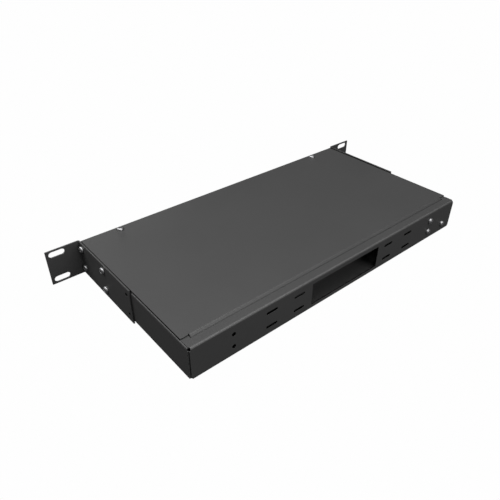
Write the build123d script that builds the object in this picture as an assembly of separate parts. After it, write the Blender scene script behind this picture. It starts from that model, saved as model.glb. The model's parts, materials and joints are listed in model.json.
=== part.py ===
from build123d import *
import os

# A one-unit rack fibre enclosure in millimetres. X runs to the right seen from the front, Y to the
# rear, Z up. The origin is the middle of the rack slot pattern, on the plane of the rack's rails.

# Rack interface
RACK_WIDTH = 482.6
EAR_HEIGHT = 42.5
EAR_SHEET = 1.5
EAR_DROP = 1.5
EAR_FLANGE = 38.85
EAR_PLATE_LENGTH = 112.4
SLOT_INSET = 12.1
SLOT_SPAN_Z = 31.75
SLOT_LENGTH = 18.0
SLOT_WIDTH = 7.0

# Folded body
BODY_DEPTH = 211.0
BODY_HEIGHT = 38.5
SHEET = 1.2
BEND = 0.8
SIDE_FLANGE = 10.0
REAR_FLANGE = 10.7
CORNER_RELIEF_RADIUS = 1.6
CORNER_RELIEF_HEIGHT = 6.0

# Rear wall
WINDOW_WIDTH = 104.6
WINDOW_SILL = 5.6
WINDOW_HEAD = 6.1
TIE_SLOT_OFFSETS = (18.3, 54.9)
TIE_SLOT_LOW = 10.4
TIE_SLOT_HIGH = 10.5
TIE_SLOT_LENGTH = 14.4
TIE_SLOT_WIDTH = 3.0
CLAMP_HOLE_INSET = 48.8
CLAMP_HOLE_LOW = 11.6
CLAMP_HOLE_HIGH = 11.9
EARTH_HOLE_INSET = 18.8

# Lid
LID_INSET = 1.0
LID_REAR_GAP = 0.4
JOGGLE_LENGTH = 3.2
TONGUE_REACH = 7.0
TONGUE_GAP = 0.2
TONGUE_SIDE_GAP = 1.0
LID_SCREW_INSET = 46.45
LID_SCREW_Y = 6.0

# Front panel and its adapter plates
PANEL_FLANGE = 13.0
PANEL_END_GAP = 0.15
PANEL_CORNER_NOTCH = 2.2
PLATE_SIDE_MARGIN = 5.95
PLATE_GAP = 2.0
PLATE_FOOT_MARGIN = 3.85
PLATE_SHEET = 1.5
PLATE_CORNER = 2.0
PLATE_NAMES = ("left", "middle", "right")
PANEL_WINDOW_SIDE_LAND = 11.5
PANEL_WINDOW_LAND = 2.3
PLUNGER_INSET = 6.0
ADAPTERS_PER_PLATE = 6
ADAPTER_PITCH = 16.5

# Adapter, standing on its narrow side
ADAPTER_WIDTH = 9.3
ADAPTER_HEIGHT = 12.7
ADAPTER_FLANGE_HEIGHT = 22.0
ADAPTER_FLANGE = 1.8
ADAPTER_FRONT = 8.2
ADAPTER_BACK = 19.0
ADAPTER_HOLE_GAP = 0.2
PORT_WIDTH = 7.4
PORT_HEIGHT = 9.6
PORT_WEB = 3.0
KEYWAY_WIDTH = 2.6
KEYWAY_LENGTH = 6.0
CAP_GAP = 0.3
CAP_PLUG_DEPTH = 6.0
CAP_FACE = 1.4
CAP_GRIP = 4.5
CAP_GRIP_THICKNESS = 1.6

# Push plunger that holds a plate
PLUNGER_BARREL_RADIUS = 2.4
PLUNGER_BORE_RADIUS = 1.35
PLUNGER_PIN_GAP = 0.05
PLUNGER_HEAD_RADIUS = 4.5
PLUNGER_HEAD = 1.5
PLUNGER_KNOB_RADIUS = 3.7
PLUNGER_KNOB = 4.6
PLUNGER_GROOVE_START = 1.2
PLUNGER_GROOVE_WIDTH = 1.6
PLUNGER_GROOVE_DEPTH = 1.2
PLUNGER_DEPTH = 5.7
PLUNGER_HOLE_GAP = 0.2

# Screws and nuts, M4
HEAD_RADIUS = 4.0
HEAD_HEIGHT = 2.7
HEAD_CHAMFER = 1.2
SCREW_RADIUS = 1.95
SCREW_END = 1.0
SCREW_GAP = 0.3
NUT_GAP = 0.06
NUT_ACROSS_FLATS = 7.0
NUT_HEIGHT = 3.2
RECESS_LENGTH = 4.4
RECESS_WIDTH = 0.9
RECESS_DEPTH = 1.3
PRESS_NUT_RADIUS = 4.0
PRESS_NUT_HEIGHT = 2.6
EAR_HOLE_INSET = 6.2
EAR_HOLE_LOW = 7.75
EAR_HOLE_HIGH = 5.75
SPARE_HOLE_RADIUS = 1.9
DRILL_LENGTH = 6.0

# Splice tray
TRAY_LENGTH = 160.0
TRAY_WIDTH = 98.0
TRAY_HEIGHT = 11.0
TRAY_CENTRE_Y = 118.0
TRAY_CORNER = 22.0
TRAY_WALL = 1.6
TRAY_FOOT_HEIGHT = 4.0
TRAY_FOOT_RADIUS = 5.0
TRAY_SCREW_INSET = 12.0
TRAY_MOUTH = 12.0
TRAY_COVER = 1.5
TRAY_COVER_LIP = 1.2
TRAY_GUIDE_RADIUS = 26.0
TRAY_GUIDE_INSET = 38.0
TRAY_GUIDE_HEIGHT = 7.0
HOLDER_WIDTH = 24.0
HOLDER_BASE = 1.2
HOLDER_RIB = 0.9
HOLDER_RIB_HEIGHT = 4.0
HOLDER_RIBS = 9
HOLDER_CENTRE_GAP = 8.0
HOLDER_GUIDE_GAP = 6.0
HOLDER_Y = 27.0

# Slack spools
SPOOL_Y = 100.0
SPOOL_RADIUS = 30.0
SPOOL_HEIGHT = 15.0
SPOOL_WALL = 1.6
SPOOL_FINGER_REACH = 12.0
SPOOL_FINGER_WIDTH = 10.0
SPOOL_FINGERS = 4
SPOOL_BOSS_RADIUS = 5.0

# Fibre clips on the floor
CLIP_WIDTH = 14.0
CLIP_HEIGHT = 13.0
CLIP_LENGTH = 8.0
CLIP_WALL = 1.6
CLIP_MOUTH = 3.0
CLIP_PEG_RADIUS = 2.0
CLIP_TRAY_GAP = 3.0
CLIP_Y = (62.0, 166.0)

# Cable clamp inside the rear wall
BRACKET_SHEET = 1.5
BRACKET_WIDTH = 20.0
BRACKET_REACH = 22.8
BRACKET_LIFT = 3.55
BRACKET_HEAD = 6.7
CLAMP_LENGTH = 18.0
CLAMP_WIDTH = 12.0
CLAMP_HEIGHT = 4.0
CLAMP_GROOVE_RADIUS = 1.6
CLAMP_GROOVE_X = 5.6
CLAMP_INSET = 8.0

# Places worked out from the sizes above
HALF = RACK_WIDTH / 2 - EAR_FLANGE
SLOT_X = RACK_WIDTH / 2 - SLOT_INSET
BASE_Z = EAR_DROP - EAR_HEIGHT / 2
TOP_Z = BASE_Z + BODY_HEIGHT
FLOOR_Z = BASE_Z + SHEET
LID_TOP_Z = TOP_Z + SHEET
FRONT_Y = -SHEET
OUTER_BEND = BEND + SHEET
CORNER_GAP = SHEET + 0.1
FLANGE_INNER_X = HALF - SIDE_FLANGE
REAR_FLANGE_Y = BODY_DEPTH - REAR_FLANGE
LID_REST_Y = REAR_FLANGE_Y - LID_REAR_GAP - JOGGLE_LENGTH
LID_SCREW_X = HALF - LID_SCREW_INSET
LID_SCREW_LENGTH = 2 * SHEET + PRESS_NUT_HEIGHT + SCREW_END
WINDOW_Z = (BASE_Z + WINDOW_SILL, TOP_Z - WINDOW_HEAD)
TIE_SLOT_X = [WINDOW_WIDTH / 2 + offset for offset in TIE_SLOT_OFFSETS]
TIE_SLOT_Z = (BASE_Z + TIE_SLOT_LOW, TOP_Z - TIE_SLOT_HIGH)
CLAMP_HOLE_X = HALF - CLAMP_HOLE_INSET
CLAMP_HOLE_Z = (BASE_Z + CLAMP_HOLE_LOW, TOP_Z - CLAMP_HOLE_HIGH)
EARTH_HOLE_X = HALF - EARTH_HOLE_INSET
REAR_SCREW_LENGTH = SHEET + BRACKET_SHEET + NUT_HEIGHT + SCREW_END
CLAMP_SCREW_LENGTH = CLAMP_HEIGHT + BRACKET_SHEET + SCREW_END
PLATE_FRONT_Y = FRONT_Y - PLATE_SHEET
PANEL_MIDDLE_Z = (FLOOR_Z + TOP_Z) / 2
PLATE_HEIGHT = TOP_Z - FLOOR_Z - 2 * PLATE_FOOT_MARGIN
PLATE_PITCH = 2 * (HALF - PLATE_SIDE_MARGIN) / len(PLATE_NAMES)
PLATE_WIDTH = PLATE_PITCH - PLATE_GAP
PLUNGER_OFFSET = PLATE_WIDTH / 2 - PLUNGER_INSET
PANEL_WINDOW_HALF = PLATE_WIDTH / 2 - PANEL_WINDOW_SIDE_LAND
PANEL_WINDOW_HEIGHT = PLATE_HEIGHT - 2 * PANEL_WINDOW_LAND
EAR_FACE_X = HALF + EAR_SHEET
EAR_SCREW_Y = (EAR_HOLE_INSET, EAR_PLATE_LENGTH / 2)
EAR_SPARE_HOLE_Y = EAR_PLATE_LENGTH - EAR_HOLE_INSET
EAR_HOLE_Z = (BASE_Z + EAR_HOLE_LOW, TOP_Z - EAR_HOLE_HIGH)
EAR_SCREW_LENGTH = EAR_SHEET + 2 * SHEET + PANEL_END_GAP + PRESS_NUT_HEIGHT + SCREW_END
TRAY_FLOOR_Z = FLOOR_Z + TRAY_FOOT_HEIGHT
TRAY_TOP_Z = TRAY_FLOOR_Z + TRAY_HEIGHT
TRAY_SCREW_X = TRAY_LENGTH / 2 - TRAY_SCREW_INSET
TRAY_SCREW_LENGTH = TRAY_WALL + TRAY_FOOT_HEIGHT + SHEET
TRAY_GUIDE_X = TRAY_LENGTH / 2 - TRAY_GUIDE_INSET
HOLDER_LENGTH = TRAY_GUIDE_X - HOLDER_GUIDE_GAP - HOLDER_CENTRE_GAP / 2
HOLDER_X = (HOLDER_CENTRE_GAP + HOLDER_LENGTH) / 2
SPOOL_X = (TRAY_LENGTH / 2 + HALF - SHEET) / 2
SPOOL_SCREW_LENGTH = SPOOL_HEIGHT + SHEET
CLIP_X = (TRAY_LENGTH + CLIP_WIDTH) / 2 + CLIP_TRAY_GAP
ADAPTER_FACE_Y = PLATE_FRONT_Y - ADAPTER_FLANGE - ADAPTER_FRONT
ADAPTER_END_Y = PLATE_FRONT_Y + ADAPTER_BACK
PLATE_X = [(i - (len(PLATE_NAMES) - 1) / 2) * PLATE_PITCH for i in range(len(PLATE_NAMES))]
ADAPTER_OFFSETS = [
    (i - (ADAPTERS_PER_PLATE - 1) / 2) * ADAPTER_PITCH for i in range(ADAPTERS_PER_PLATE)
]
BACKWARD = (0, 1, 0)
FORWARD = (0, -1, 0)


def folded_section(points, sheet=SHEET, bend=BEND):
    """Closed section of a bent sheet. The points follow one face and the sheet lies to their left."""
    face = [Vector(*p) for p in points]
    runs = [(b - a).normalized() for a, b in zip(face, face[1:])]
    normals = [Vector(-run.Y, run.X) for run in runs]
    other = [face[0] + normals[0] * sheet]
    radii, other_radii = [0], [0]
    for i in range(1, len(runs)):
        before, after = normals[i - 1], normals[i]
        other.append(face[i] + (before + after) * (sheet / (1 + before.dot(after))))
        left_turn = runs[i - 1].cross(runs[i]).Z > 0
        radii.append(bend + sheet if left_turn else bend)
        other_radii.append(bend if left_turn else bend + sheet)
    other.append(face[-1] + normals[-1] * sheet)
    radii.append(0)
    other_radii.append(0)
    outline = FilletPolyline(*face, *reversed(other), radius=radii + other_radii[::-1], close=True)
    return make_face(outline)


def bent_along_x(points, half_width, sheet=SHEET, centre=0.0):
    """Folded sheet with its section in Y and Z, half_width to each side of centre in X."""
    section = Plane.YZ.offset(centre - half_width) * folded_section(points, sheet)
    return extrude(section, 2 * half_width, dir=(1, 0, 0))


def bent_along_y(points, start, end, sheet=SHEET):
    """Folded sheet with its section in X and Z, from start to end in Y."""
    section = Plane.XZ.offset(-start) * folded_section(points, sheet)
    return extrude(section, end - start, dir=BACKWARD)


def bent_along_z(points, bottom, top, sheet=SHEET):
    """Folded sheet with its section in X and Y, from bottom to top in Z."""
    section = Plane.XY.offset(bottom) * folded_section(points, sheet)
    return extrude(section, top - bottom, dir=(0, 0, 1))


def block(x, y, z):
    """Box from its low and high limits in each direction."""
    middle = [(low + high) / 2 for low, high in (x, y, z)]
    return Pos(*middle) * Box(x[1] - x[0], y[1] - y[0], z[1] - z[0])


def rod(point, direction, radius, length):
    """Cylinder that starts at point and runs along direction."""
    start = Plane(origin=point, z_dir=direction)
    return extrude(start * Circle(radius), length, dir=direction)


def drill(point, direction, radius, length=DRILL_LENGTH):
    """Cutting cylinder through a sheet, centred on point."""
    step = Vector(*direction).normalized() * (length / 2)
    return rod(Vector(*point) - step, direction, radius, length)


def mirrored(shape):
    return mirror(shape, Plane.YZ)


def pan_screw(point, direction, length):
    """Pan head screw: its head rests on point, its shank runs the other way from direction."""
    head = rod((0, 0, 0), (0, 0, 1), HEAD_RADIUS, HEAD_HEIGHT)
    head = chamfer(head.edges().sort_by(Axis.Z)[-1], HEAD_CHAMFER)
    screw = head + rod((0, 0, 0), (0, 0, -1), SCREW_RADIUS, length)
    bar = Pos(0, 0, HEAD_HEIGHT) * Box(RECESS_LENGTH, RECESS_WIDTH, 2 * RECESS_DEPTH)
    screw -= bar + Rot(0, 0, 90) * bar
    return Plane(origin=point, z_dir=direction).location * screw


def hex_nut(point, direction):
    """Nut that lies against point and stands out along direction."""
    outline = RegularPolygon(NUT_ACROSS_FLATS / 2, 6, major_radius=False) - Circle(SCREW_RADIUS + NUT_GAP)
    return extrude(Plane(origin=point, z_dir=direction) * outline, NUT_HEIGHT, dir=direction)


def press_nut(point, direction):
    """Round clinch nut that lies against point and stands out along direction."""
    ring = Circle(PRESS_NUT_RADIUS) - Circle(SCREW_RADIUS + NUT_GAP)
    return extrude(Plane(origin=point, z_dir=direction) * ring, PRESS_NUT_HEIGHT, dir=direction)


def chassis():
    """Floor, side walls and rear wall folded from one sheet, with return flanges at the top."""
    side_path = [
        (-FLANGE_INNER_X, TOP_Z),
        (-HALF, TOP_Z),
        (-HALF, BASE_Z),
        (HALF, BASE_Z),
        (HALF, TOP_Z),
        (FLANGE_INNER_X, TOP_Z),
    ]
    tray = bent_along_y(side_path, FRONT_Y, BODY_DEPTH - CORNER_GAP)
    wall_inner = HALF - CORNER_GAP
    rear_bend_y = BODY_DEPTH - OUTER_BEND
    tray -= block(
        (-wall_inner, wall_inner), (rear_bend_y, BODY_DEPTH), (BASE_Z - SHEET, TOP_Z + SHEET)
    )
    rear_path = [
        (rear_bend_y - SHEET, BASE_Z),
        (BODY_DEPTH, BASE_Z),
        (BODY_DEPTH, TOP_Z),
        (REAR_FLANGE_Y, TOP_Z),
    ]
    tray += bent_along_x(rear_path, wall_inner)
    for side in (-1, 1):
        corner = (side * wall_inner, BODY_DEPTH - CORNER_GAP)
        for z in (TOP_Z, BASE_Z):
            tray -= drill((*corner, z), (0, 0, 1), CORNER_RELIEF_RADIUS, CORNER_RELIEF_HEIGHT)
    tray -= rear_wall_cuts()
    for y in (*EAR_SCREW_Y, EAR_SPARE_HOLE_Y):
        radius = SPARE_HOLE_RADIUS if y == EAR_SPARE_HOLE_Y else SCREW_RADIUS + SCREW_GAP
        for z in EAR_HOLE_Z:
            for side in (-1, 1):
                tray -= drill((side * HALF, y, z), (1, 0, 0), radius)
    for x, y in floor_holes():
        tray -= drill((x, y, BASE_Z), (0, 0, 1), SCREW_RADIUS + NUT_GAP)
    for x in (-CLIP_X, CLIP_X):
        for y in CLIP_Y:
            tray -= drill((x, y, BASE_Z), (0, 0, 1), CLIP_PEG_RADIUS + NUT_GAP)
    return tray


def rear_wall_cuts():
    """Cable window, tie slots and screw holes through the rear wall."""
    cuts = block(
        (-WINDOW_WIDTH / 2, WINDOW_WIDTH / 2),
        (BODY_DEPTH - 2 * SHEET, BODY_DEPTH + SHEET),
        WINDOW_Z,
    )
    wall = Plane(origin=(0, BODY_DEPTH, 0), x_dir=(1, 0, 0), z_dir=FORWARD)
    slot = extrude(wall * SlotOverall(TIE_SLOT_LENGTH, TIE_SLOT_WIDTH), 2 * SHEET, both=True)
    for x in TIE_SLOT_X:
        for z in TIE_SLOT_Z:
            cuts += Pos(x, 0, z) * slot
            cuts += Pos(-x, 0, z) * slot
    for x, z in rear_hole_places():
        cuts += drill((x, BODY_DEPTH, z), BACKWARD, SCREW_RADIUS + SCREW_GAP)
    return cuts


def rear_hole_places():
    """Two holes for a cable clamp on each side, and one for the earth screw."""
    places = [(side * CLAMP_HOLE_X, z) for side in (-1, 1) for z in CLAMP_HOLE_Z]
    return places + [(-EARTH_HOLE_X, CLAMP_HOLE_Z[0])]


def rear_screw_places():
    return [place for place in rear_hole_places() if place[0] < 0]


def floor_holes():
    """Where the tray and the spools are screwed to the floor."""
    tray = [(side * TRAY_SCREW_X, TRAY_CENTRE_Y) for side in (-1, 1)]
    return tray + [(side * SPOOL_X, SPOOL_Y) for side in (-1, 1)]


def lid():
    """Flat cover with a stepped tongue that slips under the rear flange."""
    tongue_z = TOP_Z - SHEET - TONGUE_GAP
    tongue_end_y = REAR_FLANGE_Y + TONGUE_REACH
    path = [
        (tongue_end_y, tongue_z),
        (LID_REST_Y + JOGGLE_LENGTH, tongue_z),
        (LID_REST_Y, LID_TOP_Z),
        (0, LID_TOP_Z),
    ]
    cover = bent_along_x(path, FLANGE_INNER_X - TONGUE_SIDE_GAP)
    wing = HALF - LID_INSET
    cover += block((-wing, wing), (0, LID_REST_Y - OUTER_BEND / 2), (TOP_Z, LID_TOP_Z))
    for side in (-1, 1):
        edge = sorted((side * wing, side * FLANGE_INNER_X))
        cover += block(edge, (LID_REST_Y - OUTER_BEND, LID_REST_Y), (TOP_Z, LID_TOP_Z))
        cover -= drill((side * LID_SCREW_X, LID_SCREW_Y, TOP_Z), (0, 0, 1), SCREW_RADIUS + SCREW_GAP)
    return cover


def lid_screws():
    return [
        pan_screw((side * LID_SCREW_X, LID_SCREW_Y, LID_TOP_Z), (0, 0, 1), LID_SCREW_LENGTH)
        for side in (-1, 1)
    ]


def lid_press_nuts():
    return [
        press_nut((side * LID_SCREW_X, LID_SCREW_Y, TOP_Z - SHEET), (0, 0, -1)) for side in (-1, 1)
    ]


def front_panel():
    """Frame between the side walls with three windows, turned back at the top, bottom and ends."""
    end_x = HALF - SHEET - PANEL_END_GAP
    path = [(PANEL_FLANGE, TOP_Z), (FRONT_Y, TOP_Z), (FRONT_Y, FLOOR_Z), (PANEL_FLANGE, FLOOR_Z)]
    panel = bent_along_x(path, end_x - PANEL_CORNER_NOTCH)
    top_half = FLANGE_INNER_X - PANEL_CORNER_NOTCH
    low, high = FLOOR_Z + PANEL_CORNER_NOTCH, TOP_Z - SHEET - PANEL_CORNER_NOTCH
    end_start = (end_x - 2 * OUTER_BEND - PANEL_CORNER_NOTCH, FRONT_Y)
    end_path = [end_start, (end_x, FRONT_Y), (end_x, PANEL_FLANGE)]
    tab = bent_along_z(end_path, low, high)
    panel += tab + mirrored(tab)
    for side in (-1, 1):
        edge = sorted((side * top_half, side * HALF))
        panel -= block(edge, (FRONT_Y - SHEET, PANEL_FLANGE + SHEET), (high, TOP_Z + SHEET))
        for z in EAR_HOLE_Z:
            panel -= drill((side * end_x, EAR_SCREW_Y[0], z), (1, 0, 0), SCREW_RADIUS + SCREW_GAP)
        panel -= drill((side * LID_SCREW_X, LID_SCREW_Y, TOP_Z), (0, 0, 1), SCREW_RADIUS + SCREW_GAP)
    for x in PLATE_X:
        panel -= block(
            (x - PANEL_WINDOW_HALF, x + PANEL_WINDOW_HALF),
            (FRONT_Y - SHEET, FRONT_Y + 2 * SHEET),
            (PANEL_MIDDLE_Z - PANEL_WINDOW_HEIGHT / 2, PANEL_MIDDLE_Z + PANEL_WINDOW_HEIGHT / 2),
        )
        for side in (-1, 1):
            place = (x + side * PLUNGER_OFFSET, FRONT_Y, PANEL_MIDDLE_Z)
            panel -= drill(place, BACKWARD, PLUNGER_BARREL_RADIUS + PLUNGER_HOLE_GAP)
    return panel


def adapter_plate(x):
    """Plate over one window, with a cut-out for each adapter and a hole for each plunger."""
    face = Plane(origin=(x, PLATE_FRONT_Y, PANEL_MIDDLE_Z), x_dir=(1, 0, 0), z_dir=FORWARD)
    outline = RectangleRounded(PLATE_WIDTH, PLATE_HEIGHT, PLATE_CORNER)
    cut_out = Rectangle(ADAPTER_WIDTH + 2 * ADAPTER_HOLE_GAP, ADAPTER_HEIGHT + 2 * ADAPTER_HOLE_GAP)
    for offset in ADAPTER_OFFSETS:
        outline -= Pos(offset, 0) * cut_out
    for side in (-1, 1):
        outline -= Pos(side * PLUNGER_OFFSET, 0) * Circle(PLUNGER_BARREL_RADIUS + PLUNGER_PIN_GAP)
    return extrude(face * outline, PLATE_SHEET, dir=BACKWARD)


def adapter(x):
    """Coupler with a square port at each end, a keyway in each port and a flange on the plate."""
    half_x, half_z = ADAPTER_WIDTH / 2, ADAPTER_HEIGHT / 2
    flange_y = PLATE_FRONT_Y - ADAPTER_FLANGE
    shell = block((-half_x, half_x), (ADAPTER_FACE_Y, ADAPTER_END_Y), (-half_z, half_z))
    shell += block(
        (-half_x, half_x),
        (flange_y, PLATE_FRONT_Y),
        (-ADAPTER_FLANGE_HEIGHT / 2, ADAPTER_FLANGE_HEIGHT / 2),
    )
    web_y = (ADAPTER_FACE_Y + ADAPTER_END_Y) / 2
    port_x, port_z = (-PORT_WIDTH / 2, PORT_WIDTH / 2), (-PORT_HEIGHT / 2, PORT_HEIGHT / 2)
    key_x, key_z = (-KEYWAY_WIDTH / 2, KEYWAY_WIDTH / 2), (0, half_z + 1)
    shell -= block(port_x, (ADAPTER_FACE_Y - 1, web_y - PORT_WEB / 2), port_z)
    shell -= block(port_x, (web_y + PORT_WEB / 2, ADAPTER_END_Y + 1), port_z)
    shell -= block(key_x, (ADAPTER_FACE_Y - 1, ADAPTER_FACE_Y + KEYWAY_LENGTH), key_z)
    shell -= block(key_x, (ADAPTER_END_Y - KEYWAY_LENGTH, ADAPTER_END_Y + 1), key_z)
    return Pos(x, 0, PANEL_MIDDLE_Z) * shell


def dust_cap(x, mouth_y, outward):
    """Cap with a plug in the port and a grip outside. outward is -1 at the front and 1 behind."""
    plug_x, plug_z = PORT_WIDTH / 2 - CAP_GAP, PORT_HEIGHT / 2 - CAP_GAP
    face_x, face_z = ADAPTER_WIDTH / 2 - CAP_GAP, ADAPTER_HEIGHT / 2 - CAP_GAP
    plug_end = mouth_y - outward * CAP_PLUG_DEPTH
    face_y = mouth_y + outward * CAP_FACE
    grip_y = face_y + outward * CAP_GRIP
    cap = block((-plug_x, plug_x), sorted((plug_end, mouth_y)), (-plug_z, plug_z))
    cap += block((-face_x, face_x), sorted((mouth_y, face_y)), (-face_z, face_z))
    grip = CAP_GRIP_THICKNESS / 2
    cap += block((-grip, grip), sorted((face_y, grip_y)), (-plug_z, plug_z))
    return Pos(x, 0, PANEL_MIDDLE_Z) * cap


def plunger_socket(x):
    """Collar in a plate's hole, with a barrel through the panel."""
    head = (x, PLATE_FRONT_Y - PLUNGER_HEAD, PANEL_MIDDLE_Z)
    body = rod(head, BACKWARD, PLUNGER_HEAD_RADIUS, PLUNGER_HEAD)
    body += rod(head, BACKWARD, PLUNGER_BARREL_RADIUS, PLUNGER_HEAD + PLUNGER_DEPTH)
    return body - rod(head, BACKWARD, PLUNGER_BORE_RADIUS, PLUNGER_HEAD + PLUNGER_DEPTH)


def plunger_pin(x):
    """Knob and pin that slide in the collar: pushed in, the pin spreads the barrel and locks it."""
    seat = Vector(x, PLATE_FRONT_Y - PLUNGER_HEAD, PANEL_MIDDLE_Z)
    groove = seat + Vector(*FORWARD) * PLUNGER_GROOVE_START
    ring = rod(groove, FORWARD, PLUNGER_KNOB_RADIUS, PLUNGER_GROOVE_WIDTH)
    ring -= rod(seat, FORWARD, PLUNGER_KNOB_RADIUS - PLUNGER_GROOVE_DEPTH, PLUNGER_KNOB)
    knob = rod(seat, FORWARD, PLUNGER_KNOB_RADIUS, PLUNGER_KNOB) - ring
    shaft = PLUNGER_BORE_RADIUS - PLUNGER_PIN_GAP
    return knob + rod(seat, BACKWARD, shaft, PLUNGER_HEAD + PLUNGER_DEPTH)


def ear():
    """Right-hand rack bracket: a slotted flange bent out from a plate on the body's side."""
    path = [(HALF, EAR_PLATE_LENGTH), (HALF, -EAR_SHEET), (RACK_WIDTH / 2, -EAR_SHEET)]
    half_height = EAR_HEIGHT / 2
    bracket = bent_along_z(path, -half_height, half_height, EAR_SHEET)
    flange = Plane(origin=(0, 0, 0), x_dir=(1, 0, 0), z_dir=FORWARD)
    slot = extrude(flange * SlotOverall(SLOT_LENGTH, SLOT_WIDTH), 2 * EAR_SHEET, both=True)
    for z in (-SLOT_SPAN_Z / 2, SLOT_SPAN_Z / 2):
        bracket -= Pos(SLOT_X, 0, z) * slot
    for z in EAR_HOLE_Z:
        for y in EAR_SCREW_Y:
            bracket -= drill((EAR_FACE_X, y, z), (1, 0, 0), SCREW_RADIUS + SCREW_GAP)
        bracket -= drill((EAR_FACE_X, EAR_SPARE_HOLE_Y, z), (1, 0, 0), SPARE_HOLE_RADIUS)
    return bracket


def ear_screws():
    places = [(y, z) for y in EAR_SCREW_Y for z in EAR_HOLE_Z]
    right = [pan_screw((EAR_FACE_X, y, z), (1, 0, 0), EAR_SCREW_LENGTH) for y, z in places]
    left = [pan_screw((-EAR_FACE_X, y, z), (-1, 0, 0), EAR_SCREW_LENGTH) for y, z in places]
    return right + left


def ear_press_nuts():
    """The front pair sits on the panel's end tab, the rear pair on the side wall."""
    wall_x = HALF - SHEET
    tab_x = wall_x - PANEL_END_GAP - SHEET
    nuts = []
    for z in EAR_HOLE_Z:
        for y, x in zip(EAR_SCREW_Y, (tab_x, wall_x)):
            nuts += [press_nut((x, y, z), (-1, 0, 0)), press_nut((-x, y, z), (1, 0, 0))]
    return nuts


def rear_screws():
    return [
        pan_screw((x, BODY_DEPTH, z), BACKWARD, REAR_SCREW_LENGTH) for x, z in rear_screw_places()
    ]


def rear_nuts():
    """Nuts on the clamp bracket, and one on the wall itself for the earth screw."""
    wall_y = BODY_DEPTH - SHEET
    nuts = []
    for x, z in rear_screw_places():
        seat_y = wall_y if x == -EARTH_HOLE_X else wall_y - BRACKET_SHEET
        nuts.append(hex_nut((x, seat_y, z), FORWARD))
    return nuts


def clamp_bracket():
    """Angle behind the rear wall whose foot carries the cable clamp."""
    wall_y = BODY_DEPTH - SHEET
    foot_z = FLOOR_Z + BRACKET_LIFT
    path = [(wall_y - BRACKET_REACH, foot_z), (wall_y, foot_z), (wall_y, TOP_Z - BRACKET_HEAD)]
    bracket = bent_along_x(path, BRACKET_WIDTH / 2, BRACKET_SHEET, centre=-CLAMP_HOLE_X)
    for z in CLAMP_HOLE_Z:
        bracket -= drill((-CLAMP_HOLE_X, wall_y, z), BACKWARD, SCREW_RADIUS + SCREW_GAP)
    return bracket - drill(clamp_place(foot_z), (0, 0, 1), SCREW_RADIUS + NUT_GAP)


def clamp_place(z):
    return (-CLAMP_HOLE_X, BODY_DEPTH - SHEET - BRACKET_REACH + CLAMP_INSET, z)


def clamp_block():
    """Jaw with a groove to each side of its screw for a cable's strength members."""
    x, y, seat_z = clamp_place(FLOOR_Z + BRACKET_LIFT + BRACKET_SHEET)
    half_x, half_y = CLAMP_LENGTH / 2, CLAMP_WIDTH / 2
    jaw = block((x - half_x, x + half_x), (y - half_y, y + half_y), (seat_z, seat_z + CLAMP_HEIGHT))
    for side in (-1, 1):
        groove = (x + side * CLAMP_GROOVE_X, y, seat_z)
        jaw -= drill(groove, BACKWARD, CLAMP_GROOVE_RADIUS, 2 * CLAMP_WIDTH)
    return jaw - drill((x, y, seat_z), (0, 0, 1), SCREW_RADIUS + SCREW_GAP, 4 * CLAMP_HEIGHT)


def clamp_screw():
    seat = clamp_place(FLOOR_Z + BRACKET_LIFT + BRACKET_SHEET + CLAMP_HEIGHT)
    return pan_screw(seat, (0, 0, 1), CLAMP_SCREW_LENGTH)


def splice_tray():
    """Shallow moulded tray with fibre mouths, two guide rings and two feet."""
    floor = Plane(origin=(0, TRAY_CENTRE_Y, TRAY_FLOOR_Z))
    outline = RectangleRounded(TRAY_LENGTH, TRAY_WIDTH, TRAY_CORNER)
    hollow = RectangleRounded(
        TRAY_LENGTH - 2 * TRAY_WALL, TRAY_WIDTH - 2 * TRAY_WALL, TRAY_CORNER - TRAY_WALL
    )
    tray = extrude(floor * outline, TRAY_HEIGHT)
    tray -= extrude(floor.offset(TRAY_WALL) * hollow, TRAY_HEIGHT)
    half_x, half_y = TRAY_LENGTH / 2, TRAY_WIDTH / 2
    for side_x in (-1, 1):
        foot = (side_x * TRAY_SCREW_X, TRAY_CENTRE_Y, FLOOR_Z)
        tray += rod(foot, (0, 0, 1), TRAY_FOOT_RADIUS, TRAY_FOOT_HEIGHT)
        tray -= drill(foot, (0, 0, 1), SCREW_RADIUS + SCREW_GAP, 4 * TRAY_HEIGHT)
        for side_y in (-1, 1):
            x = side_x * (half_x - TRAY_CORNER - TRAY_MOUTH)
            y = TRAY_CENTRE_Y + side_y * half_y
            tray -= block(
                (x - TRAY_MOUTH / 2, x + TRAY_MOUTH / 2),
                (y - 2 * TRAY_WALL, y + 2 * TRAY_WALL),
                (TRAY_FLOOR_Z + 2 * TRAY_WALL, TRAY_TOP_Z + 1),
            )
        guide = Circle(TRAY_GUIDE_RADIUS) - Circle(TRAY_GUIDE_RADIUS - TRAY_WALL)
        inner_half = Rectangle(2 * TRAY_GUIDE_RADIUS, 3 * TRAY_GUIDE_RADIUS)
        guide -= Pos(-side_x * TRAY_GUIDE_RADIUS, 0) * inner_half
        guide -= Rectangle(3 * TRAY_GUIDE_RADIUS, TRAY_MOUTH)
        guide_base = Plane(origin=(side_x * TRAY_GUIDE_X, TRAY_CENTRE_Y, TRAY_FLOOR_Z + TRAY_WALL))
        tray += extrude(guide_base * guide, TRAY_GUIDE_HEIGHT)
    return tray


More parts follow.
